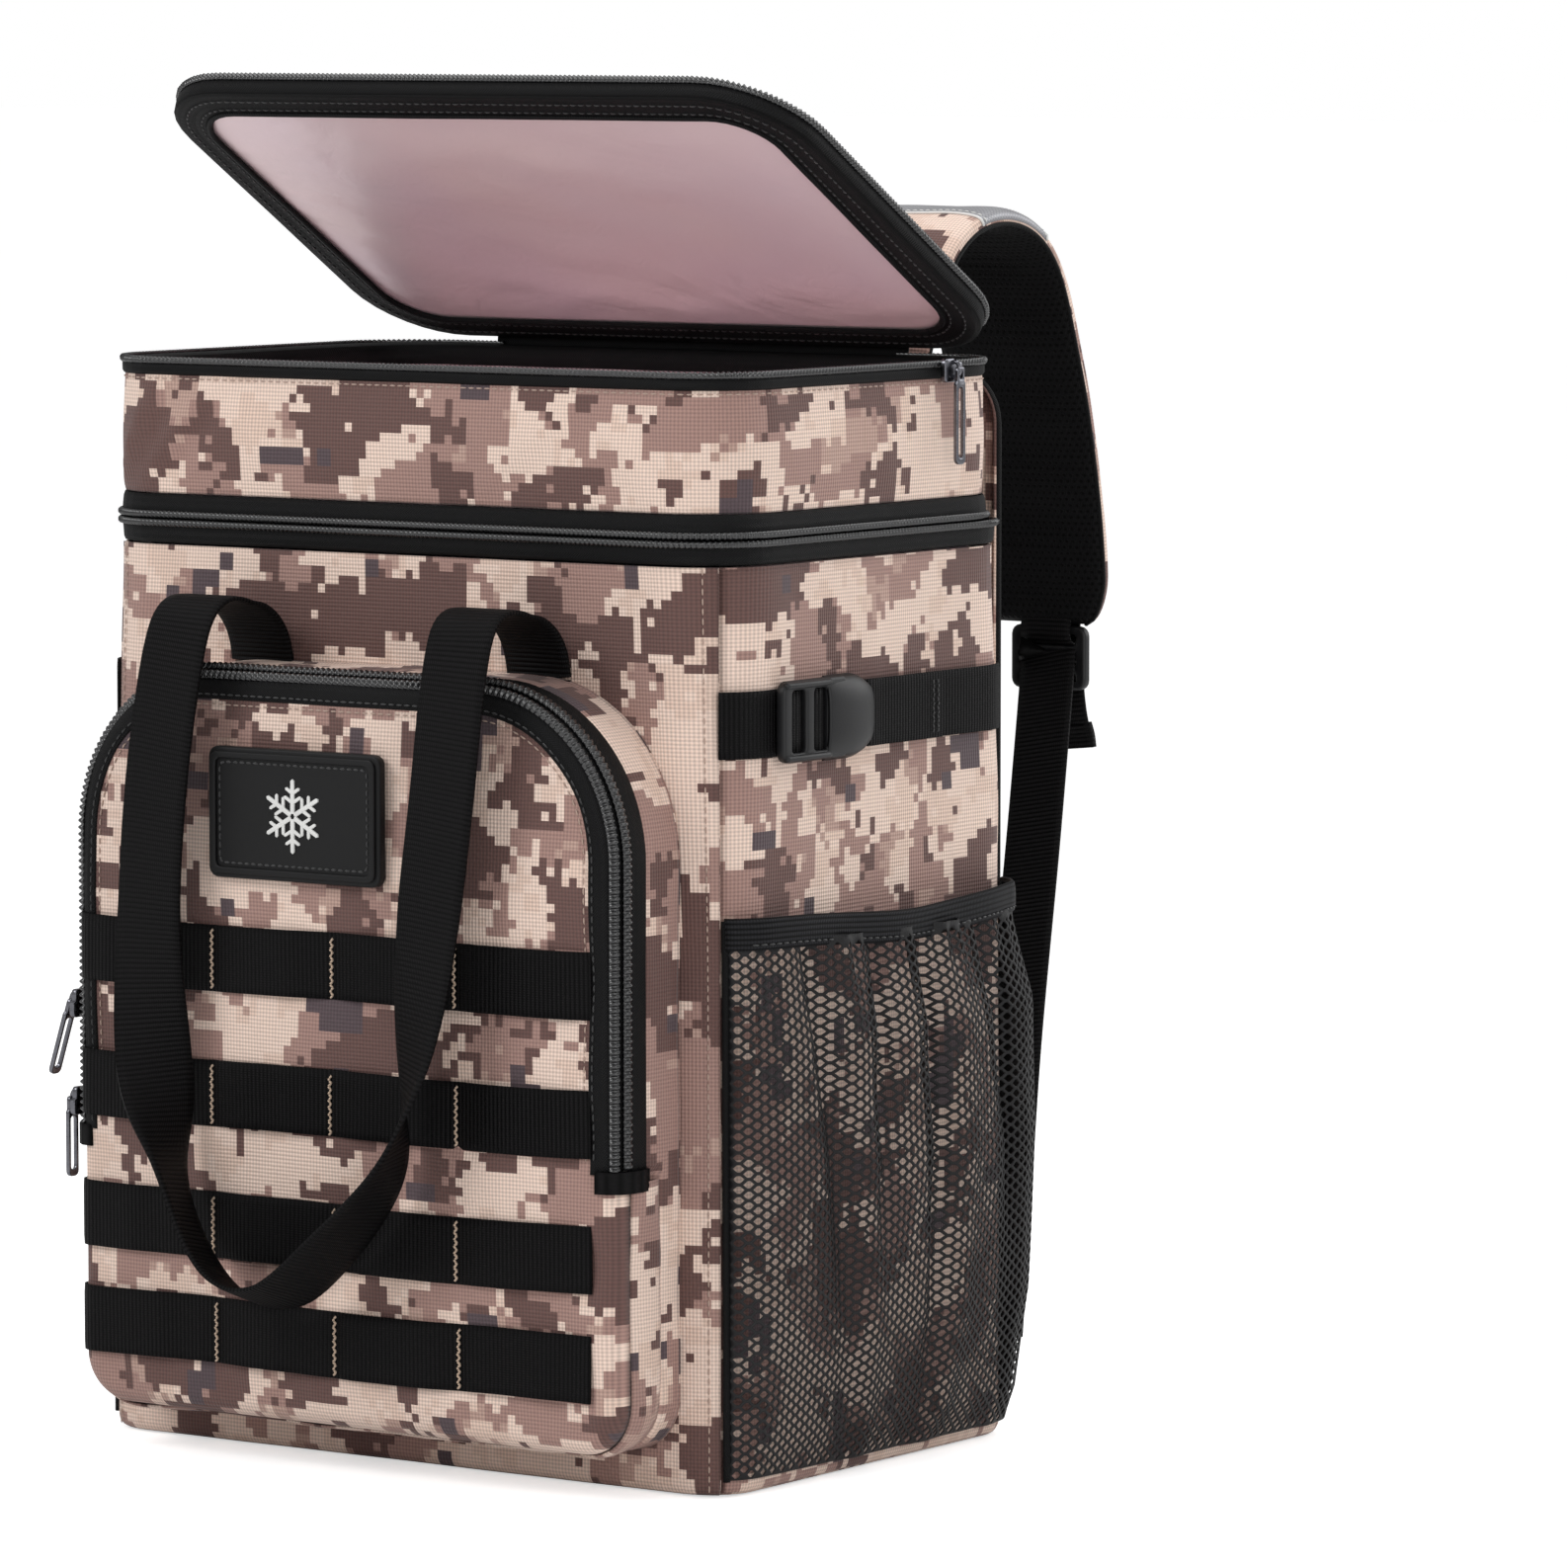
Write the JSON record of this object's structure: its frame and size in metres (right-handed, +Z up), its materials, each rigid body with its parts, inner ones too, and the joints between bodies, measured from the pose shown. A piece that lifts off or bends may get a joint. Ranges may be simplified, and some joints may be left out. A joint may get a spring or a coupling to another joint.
{
  "type": "insulated cooler backpack",
  "caption": "Camouflage insulated cooler backpack with a hinged lid, lined compartments, front zip pocket, tote handle, mesh side pockets and padded shoulder straps.",
  "frame": {"origin": "centre of the underside of the base", "axes": "+Z up, X across the width, the front pocket faces -Y and the shoulder straps stand behind the back at +Y"},
  "size_m": [0.346, 0.4032, 0.5269],
  "materials": {
    "camo_fabric": "matte digital camouflage weave",
    "zipper_tape": "herringbone tape",
    "webbing": "ribbed nylon webbing",
    "pocket_mesh": "hexagonal net",
    "air_mesh": "padded air mesh and camouflage fabric",
    "lining": "silver PEVA film",
    "foam": "closed-cell foam",
    "board": "plain sheet",
    "buckle_plastic": "moulded acetal",
    "gunmetal": "gunmetal plating",
    "reflective": "silver grey reflective tape",
    "rubber_patch": "moulded soft rubber"
  },
  "bodies": {
    "main_body": {"bottom_panel": "zipper_tape", "body_shell": "camo_fabric", "foam_tub": "foam", "liner_tub": "lining", "base_board": "board", "main_zip_lower": "zipper_tape", "back_panel": "camo_fabric", "back_pad": "air_mesh", "pocket_gusset": "camo_fabric", "pocket_front_lower": "camo_fabric", "pocket_zip_body": "zipper_tape", "molle_row_3": "webbing", "molle_row_4": "webbing", "side_strap_left": "webbing", "side_strap_right": "webbing", "handle_root_left": "webbing", "handle_root_right": "webbing", "mesh_pocket_left": "pocket_mesh", "mesh_pocket_right": "pocket_mesh", "elastic_binding_left": "webbing", "elastic_binding_right": "webbing", "strap_root_left": "air_mesh", "strap_root_right": "air_mesh", "pocket_slider_b": "gunmetal"},
    "upper_deck": {"main_zip_upper": "zipper_tape", "deck_shell": "camo_fabric", "deck_foam": "foam", "deck_liner": "lining", "rim_zip": "zipper_tape"},
    "lid": {"lid_zip": "zipper_tape", "lid_liner": "lining", "lid_foam": "foam", "lid_shell": "camo_fabric"},
    "pocket_front": {"pocket_flap": "camo_fabric", "pocket_zip_flap": "zipper_tape", "molle_row_1": "webbing", "molle_row_2": "webbing", "patch": "rubber_patch"},
    "handle_tabs": {"handle_tab_left": "webbing", "handle_tab_right": "webbing"},
    "tote_loop": {"tote_handle": "webbing"},
    "haul_loop": {"haul_handle": "webbing"},
    "rim_zip_slider": {"rim_slider": "gunmetal"},
    "rim_zip_pull": {"rim_pull": "gunmetal"},
    "main_zip_slider": {"main_slider": "gunmetal"},
    "main_zip_pull": {"main_pull": "gunmetal"},
    "pocket_zip_slider_a": {"pocket_slider_a": "gunmetal"},
    "pocket_zip_pull_a": {"pocket_pull_a": "gunmetal"},
    "pocket_zip_pull_b": {"pocket_pull_b": "gunmetal"},
    "buckle_left": {"side_buckle_left": "buckle_plastic"},
    "buckle_right": {"side_buckle_right": "buckle_plastic"},
    "shoulder_strap_left": {"shoulder_pad_left": "air_mesh", "reflective_strip_left": "reflective", "ladder_lock_left": "buckle_plastic", "lower_webbing_left": "webbing"},
    "shoulder_strap_right": {"shoulder_pad_right": "air_mesh", "reflective_strip_right": "reflective", "ladder_lock_right": "buckle_plastic", "lower_webbing_right": "webbing"}
  },
  "joints": [
    {"name": "deck_hinge", "type": "hinge", "parent": "main_body", "child": "upper_deck", "pos_m": [0, 0.098, 0.415], "axis": [-1, 0, 0], "range_deg": [0, 40]},
    {"name": "lid_hinge", "type": "hinge", "parent": "upper_deck", "child": "lid", "pos_m": [0, 0.0945, 0.4215], "axis": [1, 0, 0], "range_deg": [-44, 31]},
    {"name": "pocket_front_hinge", "type": "hinge", "parent": "main_body", "child": "pocket_front", "pos_m": [0, -0.14, 0.1225], "axis": [1, 0, 0], "range_deg": [0, 40]},
    {"name": "handle_lift", "type": "hinge", "parent": "main_body", "child": "handle_tabs", "pos_m": [0, -0.128, 0.33], "axis": [-1, 0, 0], "range_deg": [0, 122]},
    {"name": "handle_swing", "type": "hinge", "parent": "handle_tabs", "child": "tote_loop", "pos_m": [0, -0.15, 0.324], "axis": [1, 0, 0], "range_deg": [-170, 0]},
    {"name": "haul_handle_swing", "type": "hinge", "parent": "main_body", "child": "haul_loop", "pos_m": [0, 0.1085, 0.419], "axis": [-1, 0, 0], "range_deg": [0, 75]},
    {"name": "strap_swing_left", "type": "hinge", "parent": "main_body", "child": "shoulder_strap_left", "pos_m": [-0.067, 0.114, 0.4196], "axis": [-0.1683, -0.014, -0.9856], "range_deg": [-8, 10]},
    {"name": "strap_swing_right", "type": "hinge", "parent": "main_body", "child": "shoulder_strap_right", "pos_m": [0.067, 0.114, 0.4196], "axis": [0.1683, -0.014, -0.9856], "range_deg": [-10, 8]},
    {"name": "rim_slider_travel", "type": "slide", "parent": "upper_deck", "child": "rim_zip_slider", "axis": [0, -1, 0], "range_m": [0, 0.1]},
    {"name": "rim_pull_swing", "type": "hinge", "parent": "rim_zip_slider", "child": "rim_zip_pull", "pos_m": [0.1577, 0.045, 0.4168], "axis": [0, -1, 0], "range_deg": [0, 95]},
    {"name": "main_slider_travel", "type": "slide", "parent": "main_body", "child": "main_zip_slider", "axis": [0, -1, 0], "range_m": [0, 0.1]},
    {"name": "main_pull_swing", "type": "hinge", "parent": "main_zip_slider", "child": "main_zip_pull", "pos_m": [-0.1577, 0.045, 0.358], "axis": [0, 1, 0], "range_deg": [0, 95]},
    {"name": "pocket_slider_travel", "type": "slide", "parent": "main_body", "child": "pocket_zip_slider_a", "axis": [0, 0, 1], "range_m": [0, 0.06]},
    {"name": "pocket_pull_a_swing", "type": "hinge", "parent": "pocket_zip_slider_a", "child": "pocket_zip_pull_a", "pos_m": [-0.1368, -0.132, 0.171], "axis": [0, 1, 0], "range_deg": [-18, 77]},
    {"name": "pocket_pull_b_swing", "type": "hinge", "parent": "main_body", "child": "pocket_zip_pull_b", "pos_m": [-0.1368, -0.132, 0.133], "axis": [0, 1, 0], "range_deg": [0, 95]},
    {"name": "side_buckle_left_tilt", "type": "hinge", "parent": "main_body", "child": "buckle_left", "pos_m": [-0.1532, -0.0716, 0.29], "axis": [0, 0, 1], "range_deg": [0, 30]},
    {"name": "side_buckle_right_tilt", "type": "hinge", "parent": "main_body", "child": "buckle_right", "pos_m": [0.1532, -0.0716, 0.29], "axis": [0, 0, -1], "range_deg": [0, 30]}
  ],
  "couplings": [
    {"joint": "handle_lift", "follows": "pocket_front_hinge", "ratio": 3}
  ]
}
